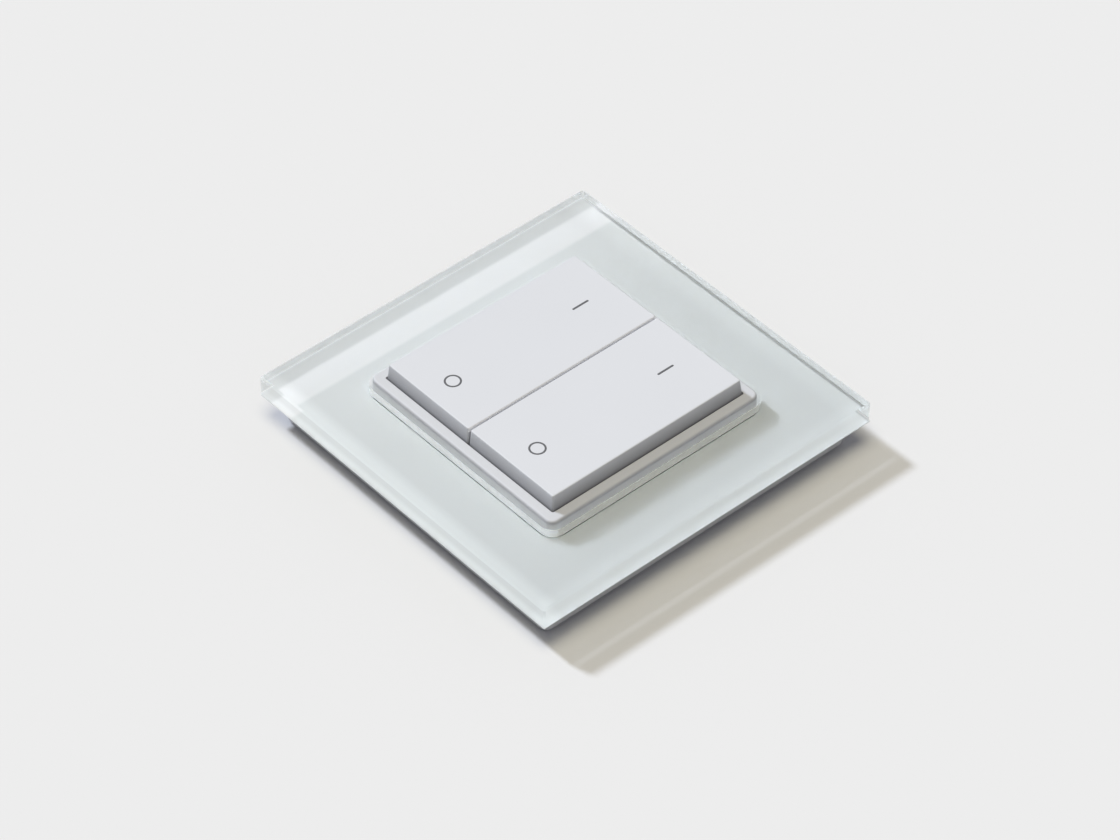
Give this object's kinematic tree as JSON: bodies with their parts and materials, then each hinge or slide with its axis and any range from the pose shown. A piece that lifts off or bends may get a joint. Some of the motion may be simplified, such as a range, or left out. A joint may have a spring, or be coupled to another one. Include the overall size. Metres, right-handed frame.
{
  "type": "wireless light switch",
  "caption": "Flat wireless light switch with paired tilting rockers in a square collar, set in a clear glass plate on a thin white base.",
  "frame": {"origin": "centre of the rear face that rests on the wall", "axes": "+X to the right across both rockers, +Y up towards the bar marks, +Z out of the wall"},
  "size_m": [0.086, 0.086, 0.0161],
  "materials": {
    "clear_glass": "polished",
    "white_film": "smooth",
    "foam_tape": "fine foam",
    "white_carrier": "fine matt",
    "white_cap": "satin",
    "plate_plastic": "fine matt",
    "pad_foam": "foam",
    "module_plastic": "fine matt",
    "board_green": "solder mask",
    "tinned_steel": "tinned",
    "chip_black": "moulded",
    "copper_wire": "enamelled",
    "silicone": "matt",
    "bow_plastic": "fine matt",
    "spring_steel": "rolled",
    "soft_iron": "stamped",
    "magnet_plated": "nickel plated",
    "bobbin_plastic": "moulded",
    "screw_steel": "zinc plated"
  },
  "bodies": {
    "housing": {"glass_plate": "clear_glass", "backing_film": "white_film", "bonding_tape": "foam_tape", "frame_carrier": "white_carrier", "mounting_plate": "plate_plastic", "adhesive_pads": "pad_foam", "collar": "white_cap", "transmitter_tray": "module_plastic", "transmitter_cover": "module_plastic", "cover_screws": "screw_steel", "circuit_board": "board_green", "radio_can": "tinned_steel", "board_parts": "chip_black", "wire_antenna": "copper_wire", "contact_mat": "silicone", "lever_pin": "spring_steel", "iron_core": "soft_iron", "coil_bobbin": "bobbin_plastic", "coil_winding": "copper_wire", "leaf_spring": "spring_steel"},
    "rocker_left": {"rocker_left": "white_cap"},
    "rocker_right": {"rocker_right": "white_cap"},
    "energy_bow": {"energy_bow": "bow_plastic"},
    "armature": {"armature_lever": "spring_steel", "magnet": "magnet_plated", "pole_plates": "soft_iron"}
  },
  "joints": [
    {"name": "rocker_left_tilt", "type": "hinge", "parent": "housing", "child": "rocker_left", "pos_m": [0, 0, 0.0124], "axis": [1, 0, 0], "range_deg": [-3, 3], "stiffness_Nm_per_rad": 0.6, "deforming": ["contact_mat"]},
    {"name": "rocker_right_tilt", "type": "hinge", "parent": "housing", "child": "rocker_right", "pos_m": [0, 0, 0.0124], "axis": [1, 0, 0], "range_deg": [-3, 3], "stiffness_Nm_per_rad": 0.6, "deforming": ["contact_mat"]},
    {"name": "bow_press", "type": "slide", "parent": "housing", "child": "energy_bow", "axis": [0, 0, 1], "range_m": [-0.0012, 0], "stiffness_N_per_m": 2000},
    {"name": "armature_swing", "type": "hinge", "parent": "housing", "child": "armature", "pos_m": [0, 0.013, 0.0073], "axis": [1, 0, 0], "range_deg": [0, 5.3], "deforming": ["leaf_spring"]}
  ],
  "couplings": [
    {"joint": "armature_swing", "follows": "bow_press", "rad_per_m": -76.923}
  ]
}
